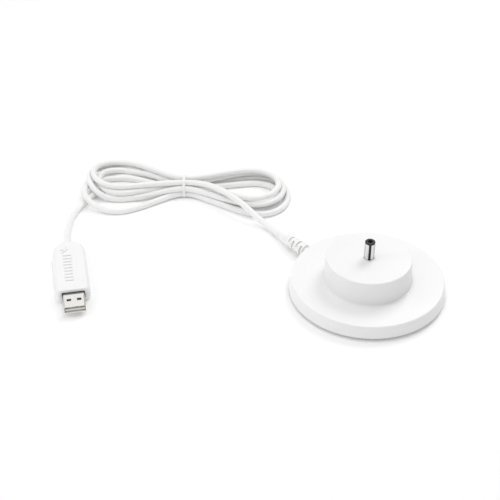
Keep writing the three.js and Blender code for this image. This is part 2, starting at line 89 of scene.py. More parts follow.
PLUG = {
    "length": 46.4,
    "width": 19,
    "height": 8.5,
    "shoulder": 3.2,
    "shoulder_inset": 1.9,
    "tail_round": 11,
    "front_corner": 2.4,
    "seam": 4.4,
}
USB = {"width": 12, "height": 4.5, "reach": 11.75, "wall": 0.3, "bottom": 2.3, "edge": 0.95, "root": 1.6}
USB_WINDOW = {"across": 2.4, "along": 2, "from_tip": 5.7, "spread": 2.75}
TONGUE = {"clearance": 0.15, "thickness": 1.4, "from_tip": 1.1, "inward": 9.6}
CONTACT = {"lift": 0.02, "height": 0.2, "width": 1, "from_tip": 1.6, "inward": 9.2}
RIDGE = {"count": 9, "first": -13.6, "pitch": 2.85, "length": 1.45, "left": -3.5, "right": 1.0}

RELIEF_LINE = [
    (-29.2, 25.9, 5.1), (-32.3, 28.6, 5.1), (-36.4, 33.3, 5), (-41.2, 39.5, 4.5), (-44.9, 44.4, 3.8),
    (-46.6, 46.8, 3.4),
]
# The lead from the strain relief up to its hank, and from the hank to the plug.
BASE_TAIL = [
    (-46.8, 47.1, 3.3), (-49.2, 50.5, 2.8), (-52.6, 55.2, 2.7), (-56.6, 59.8, 3.3), (-60.8, 64, 5),
    (-62.3, 65.4, 5.8), (-65.4, 68.4, 7.4), (-70.6, 73.4, 9.2), (-76.4, 79, 10), (-82.4, 84.6, 10),
    (-88.6, 89.4, 9.8), (-94.6, 92.4, 9.6), (-100, 93.8, 9.3),
]
PLUG_TAIL = [
    (-113, 95.6, 2.2), (-121, 98.3, 1.85), (-130, 100.2, 1.85), (-139, 101.2, 1.85),
    (-148, 100.6, 1.85), (-155, 97.4, 1.85), (-159.6, 92.4, 1.85), (-163.4, 87.4, 1.85),
    (-166.9, 80.8, 1.85), (-169.8, 74, 1.85), (-171.5, 67, 1.9), (-172.2, 60, 2.1), (-172.1, 53, 2.6),
    (-171.5, 46.5, 3.3), (-170.5, 40.1, 3.9), (-169.8, 36.3, 4.1),
]
# Each turn of the hank: its left lobe, its place (y, z) in the tie on the way out, its right lobe, and
# its place on the way back. A lobe is its middle (x, y), half its length and width, and the lead's
# height where it leaves the tie, at the lobe's end, and where it comes back.
TURNS = [
    (
        (-144.5, 106.6, 18, 16, 8.7, 9.8, 5.7), (99.6, 9.0),
        (-62.5, 93.2, 15.5, 15.6, 8.8, 9.2, 9.0), (95.6, 5.8),
    ),
    (
        (-143.5, 103.8, 15.5, 15.8, 5.6, 5.8, 1.9), (100.3, 5.8),
        (-60.5, 93.2, 16.5, 17.4, 5.4, 5.6, 5.5), (91.6, 6.0),
    ),
    (
        (-148.5, 105, 17, 18.4, 2.0, 7.0, 1.9), (102.0, 2.6),
        (-58.5, 90.3, 17.5, 20.3, 1.9, 1.9, 1.9), (91.0, 2.6),
    ),
    (
        (-145.5, 91.8, 21.5, 18.5, 1.9, 5.6, 1.9), (98.4, 2.6),
        (-60.5, 92, 13, 12.1, 1.9, 1.9, 1.9), (94.8, 2.6),
    ),
]
FIRST_SLOT = (94.3, 9.0)


# ---- camera ----

def add_camera():
    data = bpy.data.cameras.new("camera")
    data.lens = 79.02
    data.sensor_width = 36
    data.clip_start = 0.01
    camera = bpy.data.objects.new("camera", data)
    camera.location = (-0.0645, -0.4736, 0.3823)
    degrees_down = 36.84
    camera.rotation_euler = (math.radians(90 - degrees_down), 0, 0)
    bpy.context.scene.collection.objects.link(camera)
    bpy.context.scene.camera = camera


# ---- the lead's line ----

def lobe(side, x, y, half_length, half_width, near_height, end_height, far_height):
    steps = 9
    sweep = math.radians(100)
    angles = np.linspace(-sweep, sweep, steps) * -side
    across = (np.sin(angles) + 1) / 2
    flat = near_height + (far_height - near_height) * across
    height = flat + (end_height - flat) * np.cos(angles) ** 2
    return np.stack([x + side * half_length * np.cos(angles), y + half_width * np.sin(angles), height], 1)


def through_tie(slot, towards):
    reach = 3.5 * towards
    y, z = slot
    return np.array([(TIE["x"] - reach, y, z), (TIE["x"] + reach, y, z)])


def hank_points():
    points = [through_tie(FIRST_SLOT, -1)]
    for left, way_out, right, way_back in TURNS:
        points += [lobe(-1, *left), through_tie(way_out, 1), lobe(1, *right), through_tie(way_back, -1)]
    return np.concatenate(points)


def evenly(line, step):
    lengths = np.concatenate([[0], np.cumsum(np.linalg.norm(np.diff(line, axis=0), axis=1))])
    at = np.linspace(0, lengths[-1], int(round(lengths[-1] / step)) + 1)
    return np.stack([np.interp(at, lengths, line[:, axis]) for axis in range(3)], 1)


def between(a, b, ta, tb, t):
    return ((tb - t) * a + (t - ta) * b) / (tb - ta)


def smooth_line(points, step):
    """A centripetal Catmull-Rom line through the points, cut into equal steps."""
    points = np.array(points, float)
    p = np.concatenate([[2 * points[0] - points[1]], points, [2 * points[-1] - points[-2]]])
    t = np.concatenate([[0], np.cumsum(np.linalg.norm(np.diff(p, axis=0), axis=1) ** 0.5)])
    line = []
    for i in range(1, len(p) - 2):
        u = np.linspace(t[i], t[i + 1], 24, endpoint=False)[:, None]
        first = between(p[i - 1], p[i], t[i - 1], t[i], u)
        middle = between(p[i], p[i + 1], t[i], t[i + 1], u)
        last = between(p[i + 1], p[i + 2], t[i + 1], t[i + 2], u)
        before = between(first, middle, t[i - 1], t[i + 1], u)
        after = between(middle, last, t[i], t[i + 2], u)
        line.append(between(before, after, t[i], t[i + 1], u))
    return evenly(np.concatenate(line + [points[-1:]]), step)


def straighten(line, share):
    """Moves each point towards the smooth curve of its neighbours, as a springy lead would."""
    wave = np.zeros_like(line)
    wave[2:-2] = (-line[:-4] + 4 * line[1:-3] - 6 * line[2:-2] + 4 * line[3:-1] - line[4:]) / 16
    return line + share * wave


def push_apart(line, pairs):
    """Moves strands that overlap apart, each by a part of the overlap."""
    part = 0.25
    first, second = pairs
    gap = line[second] - line[first]
    distance = np.linalg.norm(gap, axis=1)
    close = distance < CORD_D
    push = gap[close] * ((CORD_D / distance[close] - 1) * part)[:, None]
    np.add.at(line, second[close], push)
    np.add.at(line, first[close], -push)


def keep_in_place(line):
    """Keeps the line above the table, and inside the tie where it passes through."""
    radius = CORD_D / 2
    reach = 3 * MM
    line[:, 2] = np.maximum(line[:, 2], radius)
    tied = np.abs(line[:, 0] - TIE["x"] * MM) < reach
    inside = radius + TIE["thickness"] * MM
    line[tied, 1] = np.clip(line[tied, 1], TIE["low"] * MM + inside, TIE["high"] * MM - inside)
    line[tied, 2] = np.clip(line[tied, 2], inside, TIE["top"] * MM - inside)


def keep_length(line, step):
    for first in (0, 1):
        start, end = line[first:-1:2], line[first + 1::2]
        count = min(len(start), len(end))
        gap = end[:count] - start[:count]
        length = np.linalg.norm(gap, axis=1)[:, None]
        change = gap * (0.5 * (length - step) / length)
        start[:count] += change
        end[:count] -= change


def settle(line):
    """Lets the wound lead settle: it keeps its length, and rests on the table, on itself and in its tie."""
    rounds = 260
    springiness = 0.9
    pull_back = 0.01
    sag = 0.004 * MM
    held_at_base, held_at_plug = 6, 14
    drawn = line.copy()
    step = np.linalg.norm(np.diff(line, axis=0), axis=1).mean()
    apart = int(np.ceil(1.6 * CORD_D / step)) + 1
    pairs = np.triu_indices(len(line), apart)
    held = np.zeros(len(line), bool)
    held[:held_at_base] = True
    held[-held_at_plug:] = True
    for _ in range(rounds):
        line = straighten(line, springiness) + pull_back * (drawn - line)
        line[:, 2] -= sag
        line[held] = drawn[held]
        for _ in range(2):
            push_apart(line, pairs)
            keep_in_place(line)
        for _ in range(2):
            line = straighten(line, springiness)
        for _ in range(3):
            keep_length(line, step)
        line[held] = drawn[held]
    return line


def lead_line():
    settling_step, final_step = 2.6 * MM, 1.0 * MM
    points = np.concatenate([BASE_TAIL, hank_points(), PLUG_TAIL]) * MM
    settled = settle(smooth_line(points, settling_step))
    return smooth_line(settled, final_step)


# ---- building blocks ----

def mesh_piece(name, vertices, faces):
    mesh = bpy.data.meshes.new(name)
    mesh.from_pydata([tuple(v) for v in vertices], [], faces)
    mesh.validate()
    obj = bpy.data.objects.new(name, mesh)
    bpy.context.scene.collection.objects.link(obj)
    outward(obj)
    return obj


def outward(obj):
    shape = bmesh.new()
    shape.from_mesh(obj.data)
    bmesh.ops.recalc_face_normals(shape, faces=shape.faces)
    shape.to_mesh(obj.data)
    shape.free()


def rounded(corners, steps=6):
    """A closed outline of (x, y, radius) corners, each rounded to its radius."""
    outline = []
    for i, (x, y, radius) in enumerate(corners):
        here = Vector((x, y))
        if not radius:
            outline.append((x, y))
            continue
        before = (Vector(corners[i - 1][:2]) - here).normalized()
        after = (Vector(corners[(i + 1) % len(corners)][:2]) - here).normalized()
        half = before.angle(after) / 2
        centre = here + (before + after).normalized() * (radius / math.sin(half))
        start = here + before * (radius / math.tan(half)) - centre
        end = here + after * (radius / math.tan(half)) - centre
        turn = start.angle(end)
        for k in range(steps + 1):
            share = k / steps
            arm = (math.sin((1 - share) * turn) * start + math.sin(share * turn) * end) / math.sin(turn)
            outline.append(tuple(centre + arm))
    return outline


def turned(name, outline, sides=192):
    """A closed outline of (radius, height) in millimetres, turned round the Z axis."""
    rings = []
    vertices = []
    for radius, height in outline:
        if radius < 1e-6:
            rings.append([len(vertices)] * sides)
            vertices.append((0, 0, height * MM))
            continue
        rings.append(list(range(len(vertices), len(vertices) + sides)))
        for k in range(sides):
            angle = 2 * math.pi * k / sides
            vertices.append((radius * math.cos(angle) * MM, radius * math.sin(angle) * MM, height * MM))
    faces = []
    for i, ring in enumerate(rings):
        other = rings[(i + 1) % len(rings)]
        if ring[0] == ring[1] and other[0] == other[1]:
            continue
        for k in range(sides):
            corners = [ring[k], ring[(k + 1) % sides], other[(k + 1) % sides], other[k]]
            faces.append(list(dict.fromkeys(corners)))
    return mesh_piece(name, vertices, faces)


def lofted(name, layers):
    """Stacked outlines of equal count, each (points, height) in millimetres, closed flat at both ends."""
    count = len(layers[0][0])
    vertices = [(x * MM, y * MM, height * MM) for outline, height in layers for x, y in outline]
    faces = [list(range(count))[::-1], [len(vertices) - count + k for k in range(count)]]
    for level in range(len(layers) - 1):
        low, high = level * count, (level + 1) * count
        for k in range(count):
            after = (k + 1) % count
            faces.append([low + k, low + after, high + after, high + k])
    return mesh_piece(name, vertices, faces)


def block(name, low, high, edge=0.0, segments=3):
    """A box from corner to corner in millimetres, its edges rounded."""
    corners = [(low[0], low[1]), (high[0], low[1]), (high[0], high[1]), (low[0], high[1])]
    obj = lofted(name, [(corners, low[2]), (corners, high[2])])
    if edge:
        bevel = obj.modifiers.new("edge", "BEVEL")
        bevel.width = edge * MM
        bevel.segments = segments
        bevel.limit_method = "NONE"
        apply(obj)
    return obj


def rod(name, radius, low, high, sides=48):
    angles = [2 * math.pi * k / sides for k in range(sides)]
    circle = [(radius * math.cos(angle), radius * math.sin(angle)) for angle in angles]
    return lofted(name, [(circle, low), (circle, high)])


def apply(obj):
    """Makes the modifiers' result the object's own mesh."""
    graph = bpy.context.evaluated_depsgraph_get()
    made = bpy.data.meshes.new_from_object(obj.evaluated_get(graph))
    obj.modifiers.clear()
    obj.data = made


def combine(obj, other, operation):
    modifier = obj.modifiers.new("combine", "BOOLEAN")
    modifier.operation = operation
    modifier.solver = "EXACT"
    modifier.object = other
    apply(obj)
    bpy.data.objects.remove(other)
    return obj


def cut(obj, other):
    return combine(obj, other, "DIFFERENCE")


def join(obj, other):
    return combine(obj, other, "UNION")


def lying(obj, height):
    """Turns an upright piece so that its +Z points along -X, at a height in millimetres."""
    obj.data.transform(Matrix.Translation((0, 0, height * MM)) @ Matrix.Rotation(math.radians(-90), 4, "Y"))
    return obj


def placed(obj, place):
    obj.data.transform(place)
    return obj


def finished(obj, slot, nodes=(), sharp=35):
    """Smooth shading with true edges, the slot's material, and the CAD nodes that the piece stands for."""
    obj.data.shade_smooth()
    obj.data.set_sharp_from_angle(angle=math.radians(sharp))
    normals = obj.modifiers.new("normals", "WEIGHTED_NORMAL")
    normals.keep_sharp = True
    return dressed(obj, slot, nodes)


def dressed(obj, slot, nodes=()):
    obj.data.materials.clear()
    obj.data.materials.append(MATERIALS[slot])
    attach(obj, "root")
    if nodes:
        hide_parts(*nodes)
    return obj


# ---- materials ----

NOISE_LOW, NOISE_HIGH = 0.3, 0.7  # most of a noise's values lie between these


class Shader:
    """A material's node tree, with short ways to add to it."""

    def __init__(self, name, color, roughness, metallic=0.0):
        self.material = bpy.data.materials.new(name)
        self.material.use_nodes = True
        self.tree = self.material.node_tree
        self.surface = self.tree.nodes["Principled BSDF"]
        self.surface.inputs["Base Color"].default_value = (*color, 1)
        self.surface.inputs["Roughness"].default_value = roughness
        self.surface.inputs["Metallic"].default_value = metallic

    def node(self, kind, **values):
        node = self.tree.nodes.new(kind)
        for key, value in values.items():
            setattr(node, key, value)
        return node

    def link(self, output, socket):
        self.tree.links.new(output, socket)

    def noise(self, scale, detail=2.0, stretch=(1, 1, 1), roughness=0.5):
        """Noise fixed to the object, its scale in features per metre."""
        place = self.node("ShaderNodeTexCoord")
        mapping = self.node("ShaderNodeMapping")
        mapping.inputs["Scale"].default_value = stretch
        noise = self.node("ShaderNodeTexNoise")
        noise.inputs["Scale"].default_value = scale
        noise.inputs["Detail"].default_value = detail
        noise.inputs["Roughness"].default_value = roughness
        self.link(place.outputs["Object"], mapping.inputs["Vector"])
        self.link(mapping.outputs["Vector"], noise.inputs["Vector"])
        return noise.outputs["Fac"]

    def ramp(self, value, low, high):
        """Turns a noise into a range of values."""
        scale = self.node("ShaderNodeMapRange")
        scale.inputs["From Min"].default_value = NOISE_LOW
        scale.inputs["From Max"].default_value = NOISE_HIGH
        scale.inputs["To Min"].default_value = low
        scale.inputs["To Max"].default_value = high
        self.link(value, scale.inputs["Value"])
        return scale.outputs["Result"]

    def tint(self, value, first, second):
        ramp = self.node("ShaderNodeValToRGB")
        ramp.color_ramp.elements[0].position = NOISE_LOW
        ramp.color_ramp.elements[0].color = (*first, 1)
        ramp.color_ramp.elements[1].position = NOISE_HIGH
        ramp.color_ramp.elements[1].color = (*second, 1)
        self.link(value, ramp.inputs["Fac"])
        self.link(ramp.outputs["Color"], self.surface.inputs["Base Color"])

    def rough(self, value, low, high):
        self.link(self.ramp(value, low, high), self.surface.inputs["Roughness"])

    def bump(self, value, depth, strength=1.0):
        """Raises the surface by the value times a depth in millimetres."""
        bump = self.node("ShaderNodeBump")
        bump.inputs["Distance"].default_value = depth * MM
        bump.inputs["Strength"].default_value = strength
        self.link(value, bump.inputs["Height"])
        self.link(bump.outputs["Normal"], self.surface.inputs["Normal"])


def moulded_white(name, color, roughness):
    """Fine spark-eroded satin on white plastic."""
    shader = Shader(name, color, roughness)
    cloud = shader.noise(45, 3)
    shader.tint(cloud, tuple(0.985 * c for c in color), color)
    shader.rough(shader.noise(900, 3), roughness - 0.05, roughness + 0.06)
    shader.bump(shader.noise(4200, 3, roughness=0.6), 0.012, 0.5)
    return shader.material


def cable_white():
    """A soft jacket, very slightly uneven along its length, as extruded cable is."""
    color = (0.86, 0.86, 0.855)
    shader = Shader("cable_white", color, 0.45)
    shader.tint(shader.noise(60, 3), tuple(0.98 * c for c in color), color)
    shader.rough(shader.noise(500, 2), 0.38, 0.5)
    shader.bump(shader.noise(1600, 3), 0.02, 0.35)
    shader.surface.inputs["Sheen Weight"].default_value = 0.15
    shader.surface.inputs["Sheen Roughness"].default_value = 0.4
    return shader.material


def rubber_grey():
    shader = Shader("rubber_grey", (0.09, 0.09, 0.095), 0.85)
    shader.tint(shader.noise(300, 4), (0.075, 0.075, 0.08), (0.11, 0.11, 0.115))
    shader.bump(shader.noise(2600, 4, roughness=0.7), 0.05, 0.7)
    return shader.material


def plated(name, color, roughness, stretch):
    """Bright plate over metal that keeps faint marks of how it was turned or drawn."""
    shader = Shader(name, color, roughness, 1.0)
    marks = shader.noise(700, 3, stretch)
    shader.tint(marks, tuple(0.94 * c for c in color), color)
    shader.surface.inputs["Specular Tint"].default_value = (0.35, 0.35, 0.36, 1)
    shader.rough(marks, roughness * 0.8, roughness * 1.3)
    shader.bump(marks, 0.004, 0.4)
    return shader.material


def satin_black():
    shader = Shader("satin_black", (0.03, 0.03, 0.031), 0.5)
    shader.surface.inputs["Specular IOR Level"].default_value = 0.35
    shader.rough(shader.noise(800, 3), 0.42, 0.58)
    shader.bump(shader.noise(3800, 3), 0.01, 0.5)
    return shader.material


def solder_mask():
    """Green mask over a faint pattern of tracks."""
    shader = Shader("solder_mask", (0.02, 0.16, 0.07), 0.45)
    tracks = shader.noise(350, 0, (1, 0.2, 1))
    shader.tint(tracks, (0.015, 0.12, 0.05), (0.04, 0.24, 0.1))
    shader.bump(tracks, 0.03, 0.6)
    return shader.material


def core_insulation(name, color):
    shader = Shader(name, color, 0.45)
    shader.tint(shader.noise(200, 2), tuple(0.85 * c for c in color), color)
    shader.bump(shader.noise(2500, 2), 0.01, 0.4)
    return shader.material


def all_materials():
    return {
        "white_shell": moulded_white("shell_white", (0.86, 0.86, 0.86), 0.32),
        "white_tongue": moulded_white("tongue_white", (0.8, 0.8, 0.77), 0.4),
        "white_cable": cable_white(),
        "foot_rubber": rubber_grey(),
        "pin_chrome": plated("nickel_turned", (0.82, 0.82, 0.83), 0.12, (0.15, 0.15, 3)),
        "usb_steel": plated("nickel_drawn", (0.98, 0.97, 0.94), 0.14, (0.3, 0.08, 1)),
        # The same plated steel made darker, as painted shade on the shell's stretch next to the housing.
        "steel_painted_shade": plated("nickel_painted_shade", (0.3, 0.3, 0.3), 0.3, (0.3, 0.08, 1)),
        "screw_steel": plated("zinc_plate", (0.6, 0.61, 0.63), 0.35, (1, 1, 1)),
        "black_plastic": satin_black(),
        "contact_gold": plated("gold_plate", (0.7, 0.55, 0.3), 0.25, (0.3, 0.05, 1)),
        "board_green": solder_mask(),
        "wire_red": core_insulation("insulation_red", (0.5, 0.03, 0.02)),
        "wire_black": core_insulation("insulation_black", (0.02, 0.02, 0.02)),
        "part_yellow": core_insulation("resin_yellow", (0.65, 0.36, 0.05)),
    }


# ---- the base ----

def base_turn():
    return Matrix.Rotation(math.radians(LEAD_ANGLE - 180), 4, "Z")


def base_cover():
    wall = BASE["wall"]
    roof = BASE["rim_top"] - wall
    ceiling = BASE["boss_top"] - BASE["roof"]
    hole = PIN["radius"] + 0.08
    corners = [
        (hole, BASE["collar_bottom"], 0),
        (BASE["collar_radius"], BASE["collar_bottom"], 0.3),
        (BASE["collar_radius"], ceiling, 0.3),
        (BASE["boss_top_radius"] - wall, ceiling, 0.8),
        (BASE["boss_foot_radius"] - wall, roof, 0.8),
        (BASE["rim_radius"] - wall, roof, 0.6),
        (BASE["foot_radius"] - wall, BASE["rim_bottom"], 0),
        (BASE["foot_radius"], BASE["rim_bottom"], 0.35),
        (BASE["rim_radius"], BASE["rim_top"], 0.8),
        (BASE["boss_foot_radius"], BASE["rim_top"], 0.7),
        (BASE["boss_top_radius"], BASE["boss_top"], 0.7),
        (hole, BASE["boss_top"], 0.2),
    ]
    cover = turned("base_cover", rounded(corners, 8), 288)
    neck = 2.7
    reach = (BASE["rim_radius"] - 6, BASE["foot_radius"] + 1)
    cut(cover, lying(rod("notch", neck, *reach), CABLE_HEIGHT))
    mouth = block("mouth", (-reach[1], -neck, 0), (-reach[0], neck, CABLE_HEIGHT))
    cut(cover, mouth)
    placed(cover, base_turn())
    return finished(cover, "white_shell", ["base_top_cover"])


def foot_ring():
    corners = [
        (FOOT["inner"], FOOT["height"], 0),
        (FOOT["inner"], 0, 0.4),
        (FOOT["outer"], 0, 0.4),
        (FOOT["outer"], FOOT["height"], 0),
    ]
    return finished(turned("rubber_foot", rounded(corners)), "foot_rubber", ["foot_ring"])


# ---- the barrel pin ----

def barrel_sleeve():
    inside = PIN["radius"] - PIN["wall"]
    top = PIN["top"] - PIN["cap"]
    corners = [
        (inside, PIN["bottom"], 0),
        (PIN["radius"], PIN["bottom"], 0.1),
        (PIN["radius"], PIN["flange_bottom"], 0),
        (PIN["flange"], PIN["flange_bottom"], 0.15),
        (PIN["flange"], PIN["flange_top"], 0.15),
        (PIN["radius"], PIN["flange_top"], 0),
        (PIN["radius"], top, 0.12),
        (inside, top, 0),
    ]
    sleeve = turned("sleeve", rounded(corners), 128)
    for side in (0, 180):
        far_corner = (PIN["radius"] + 1, SLIT_WIDTH / 2, top + 1)
        slit = block("slit", (0, -SLIT_WIDTH / 2, SLIT_BOTTOM), far_corner)
        cut(sleeve, placed(slit, Matrix.Rotation(math.radians(SLIT_ANGLE + side), 4, "Z")))
    return finished(sleeve, "pin_chrome", ["barrel_sleeve"])


def barrel_core():
    inside = PIN["radius"] - PIN["wall"] - 0.05
    seat = PIN["top"] - PIN["cap"] + 0.02
    bottom = PIN["bottom"] - 1
    step = PIN["top"] - PIN["bore_depth"]
    corners = [
        (PIN["contact_bore"], bottom, 0),
        (inside, bottom, 0.1),
        (inside, seat, 0),
        (PIN["radius"], seat, 0.1),
        (PIN["radius"], PIN["top"], 0.4),
        (PIN["bore"], PIN["top"], 0.2),
        (PIN["bore"], step, 0),
        (PIN["contact_bore"], step, 0),
    ]
    return finished(turned("pin_core", rounded(corners), 128), "black_plastic", ["barrel_insulator"])


# ---- the strain relief ----

RELIEF = {
    "core": 1.7,
    "slots": (6.3, 9.5, 12.7, 15.9),
    "slot_width": 1.1,
    "slot_edge": 0.12,
    "bridge": 22,
    "bridge_edge": 6,
}
# The sleeve's radius by distance from its inner end: its flange, its neck in the notch, its slotted body.
RELIEF_PROFILE = [
    (0, 2.9), (1.45, 2.9), (1.55, 2.4), (4.6, 2.4),
    (4.8, 3.6), (5.2, 3.75), (17.2, 3.35), (20.4, 3.05), (20.8, 2.85), (21, 2.45),
]


def relief_radius(along, length):
    """The sleeve's outer radius before its slots are cut, by distance from its inner end."""
    outline = RELIEF_PROFILE + [(24.4, 2.3), (length - 0.6, 2.05), (length, 1.95)]
    return float(np.interp(along, [d for d, _ in outline], [r for _, r in outline]))


def relief_slot(along, angle):
    """From 0 to 1: how deep the staggered slots are at a point. Angle 0 is the sleeve's near side."""
    depth = 0.0
    edge = RELIEF["slot_edge"]
    for i, middle in enumerate(RELIEF["slots"]):
        side = max(0.0, min(1.0, (RELIEF["slot_width"] / 2 + edge - abs(along - middle)) / edge))
        solid = angle if i % 2 else angle + 90
        turn = abs((solid + 90) % 180 - 90)
        bridge = max(0.0, min(1.0, (turn - RELIEF["bridge"]) / RELIEF["bridge_edge"]))
        depth = max(depth, side * bridge)
    return depth


def relief_stations(length):
    step = 0.6
    stations = {round(step * i, 3) for i in range(int(length / step) + 1)}
    stations |= {distance for distance, _ in RELIEF_PROFILE}
    half = RELIEF["slot_width"] / 2
    edges = (0, RELIEF["slot_edge"])
    for middle in RELIEF["slots"]:
        stations |= {round(middle + side * (half + more), 3) for side in (-1, 1) for more in edges}
    return sorted(stations | {round(length, 4)})


def path_frames(line, at):
    """Places along a line with their side and upper directions."""
    lengths = np.concatenate([[0], np.cumsum(np.linalg.norm(np.diff(line, axis=0), axis=1))])
    for distance in at:
        here = np.array([np.interp(distance, lengths, line[:, k]) for k in range(3)])
        ahead = np.array([np.interp(distance + 0.4, lengths, line[:, k]) for k in range(3)])
        behind = np.array([np.interp(distance - 0.4, lengths, line[:, k]) for k in range(3)])
        along = Vector(ahead - behind).normalized()
        side = Vector((0, 0, 1)).cross(along).normalized()
        yield Vector(here), side, along.cross(side)


def strain_relief():
    line = smooth_line(RELIEF_LINE, 0.2)
    length = float(np.linalg.norm(np.diff(line, axis=0), axis=1).sum())
    sides = 120
    vertices = []
    stations = relief_stations(length)
    for distance, (centre, side, over) in zip(stations, path_frames(line, stations)):
        outer = relief_radius(distance, length)
        for k in range(sides):
            angle = 360 * k / sides
            radius = outer - (outer - RELIEF["core"]) * relief_slot(distance, angle)
            turn = math.radians(angle)
            vertices.append((centre + radius * (math.cos(turn) * side + math.sin(turn) * over)) * MM)
    faces = [list(range(sides)), [len(vertices) - sides + k for k in range(sides)][::-1]]
    for ring in range(len(stations) - 1):
        for k in range(sides):
            after = (k + 1) % sides
            here, there = ring * sides, (ring + 1) * sides
            faces.append([here + k, there + k, there + after, here + after])
    relief = mesh_piece("lead_relief", vertices, faces)
    return finished(relief, "white_cable", ["strain_relief"], 40)


# ---- the lead and its tie ----

def lead(line):
    data = bpy.data.curves.new("lead", "CURVE")
    data.dimensions = "3D"
    data.bevel_depth = CORD_D / 2
    data.bevel_resolution = 6
    data.use_fill_caps = True
    spline = data.splines.new("POLY")
    spline.points.add(len(line) - 1)
    spline.points.foreach_set("co", np.concatenate([line, np.ones((len(line), 1))], 1).ravel())
    obj = bpy.data.objects.new("lead", data)
    bpy.context.scene.collection.objects.link(obj)
    return dressed(obj, "white_cable", ["cord_base_tail", "cord_hank", "cord_plug_tail"])


def strands_in_tie(line):
    """Where each strand of the hank crosses the tie, as (y, z) in millimetres."""
    x = line[:, 0] / MM - TIE["x"]
    crossings = np.nonzero(np.sign(x[:-1]) != np.sign(x[1:]))[0]
    found = []
    for i in crossings:
        share = x[i] / (x[i] - x[i + 1])
        found.append(tuple((line[i] + share * (line[i + 1] - line[i]))[1:] / MM))
    return found


def tie_band(line):
    """A thin strip drawn tight round the strands."""
    thickness = 0.35
    strands = np.array(strands_in_tie(line))
    hull = strands[convex_hull_2d([Vector(p) for p in strands])]
    half = TIE["width"] / 2
    count = 144
    radius = CORD_D / MM / 2
    outer = radius + thickness
    rings = [(radius, -half), (radius, half), (outer, half), (outer, -half)]
    vertices = []
    for k in range(count):
        angle = 2 * math.pi * k / count
        way = np.array([math.cos(angle), math.sin(angle)])
        strand = hull[np.argmax(hull @ way)]
        for out, x in rings:
            y, z = strand + out * way
            vertices.append(((TIE["x"] + x) * MM, y * MM, z * MM))
    faces = []
    for k in range(count):
        here, after = 4 * k, 4 * ((k + 1) % count)
        for i in range(4):
            j = (i + 1) % 4
            faces.append([here + i, here + j, after + j, after + i])
    band = mesh_piece("tie_band", vertices, faces)
    return finished(band, "white_cable", ["cord_tie"])


# ---- the plug. Its own frame has the tail at the origin and the open end towards -Y. ----

def plug_place():
    mount = next(m for m in frame["record"]["mounts"] if m["name"] == "usb_a_plug")
    forward = Vector(mount["axis"])
    tail = Vector(mount["pos_m"]) - forward * (PLUG["length"] + USB["reach"]) * MM
    turn = math.atan2(forward.x, -forward.y)
    return Matrix.Translation((tail.x, tail.y, 0)) @ Matrix.Rotation(turn, 4, "Z")


def bezier(start, first, second, end, steps):
    points = []
    for k in range(1, steps + 1):
        t = k / steps
        weights = ((1 - t) ** 3, 3 * t * (1 - t) ** 2, 3 * t * t * (1 - t), t**3)
        corners = list(zip(weights, (start, first, second, end)))
        points.append(tuple(sum(w * p[axis] for w, p in corners) for axis in (0, 1)))
    return points


def housing_outline(inset):
    half = PLUG["width"] / 2 - inset
    tail = -inset
    front = -PLUG["length"] + inset * 0.4
    full = tail - PLUG["tail_round"]
    corner = PLUG["front_corner"]
    middle = tail - PLUG["tail_round"] * 0.35
    left = bezier((0, tail), (-half * 0.7, tail), (-half, middle), (-half, full), 24)
    left += bezier((-half, front + corner), (-half, front + corner * 0.4), (-half + corner * 0.6, front),
                   (-half + corner, front), 8)
    right = [(-x, y) for x, y in reversed(left)]
    return [(0, tail)] + left + right[:-1] + [(half * 0.02, tail)]


def housing_half(name, flat, seam):
    """One half of the housing, from its seam to its flat face, with a rounded shoulder."""
    up = 1 if flat > seam else -1
    groove = 0.18
    layers = [(housing_outline(groove), seam), (housing_outline(0), seam + up * groove)]
    steps = 14
    for i in range(steps + 1):
        angle = math.radians(90) * i / steps
        height = flat - up * PLUG["shoulder"] * (1 - math.sin(angle))
        layers.append((housing_outline(PLUG["shoulder_inset"] * (1 - math.cos(angle))), height))
    return lofted(name, layers if up > 0 else layers[::-1])


def hollow_out(half):
    """Cuts the room for the board, the shell's seat with its wider mouth, and the lead's bore."""
    clearance = 0.12
    front = -PLUG["length"]
    room = USB["width"] / 2 + clearance
    low = USB["bottom"] - clearance
    high = USB["bottom"] + USB["height"] + clearance
    cut(half, block("hollow", (-5.6, front + 11, 1.4), (5.6, -9, PLUG["height"] - 1.3)))
    cut(half, block("room", (-room, front - 1, low), (room, front + 11.5, high), 0.5))
    low_corner = (-room - 0.2, front - 1, low - 0.2)
    cut(half, block("mouth", low_corner, (room + 0.2, front + 3, high + 0.2), 0.5))
    bore = rod("bore", CORD_D / MM / 2 + 0.08, -1, 12, sides=64)
    along_lead = Matrix.Translation((0, 1 * MM, 4.2 * MM)) @ Matrix.Rotation(math.radians(90), 4, "X")
    cut(half, placed(bore, along_lead))
    return half


def raised_mark():
    """A plain bolt and a row of short ridges along the housing's top, moulded a little proud of it."""
    top = PLUG["height"]
    low, high = top - 0.2, top + 0.55
    bolt = [(-1.3, -6.2), (-4.5, -9.2), (-2.6, -9.5), (-4.1, -12.4), (-0.4, -9.0), (-2.1, -8.7)]
    shapes = [lofted("bolt", [(bolt, low), (bolt, high)])]
    for i in range(RIDGE["count"]):
        y = RIDGE["first"] - RIDGE["pitch"] * i
        low_corner = (RIDGE["left"], y - RIDGE["length"], low)
        shapes.append(block("ridge", low_corner, (RIDGE["right"], y, high), 0.12, 2))
    return shapes


def plug_shells():
    gap = 0.03
    lower = hollow_out(housing_half("plug_lower", 0, PLUG["seam"] - gap))
    upper = hollow_out(housing_half("plug_upper", PLUG["height"], PLUG["seam"] + gap))
    for shape in raised_mark():
        join(upper, shape)
    for half in (lower, upper):
        placed(half, plug_place())
    finished(lower, "white_shell", ["plug_lower_shell"])
    finished(upper, "white_shell", ["plug_upper_shell"])
    return lower, upper


def ring_section(width, low, high, edge):
    half = width / 2
    return rounded([(-half, low, edge), (half, low, edge), (half, high, edge), (-half, high, edge)])


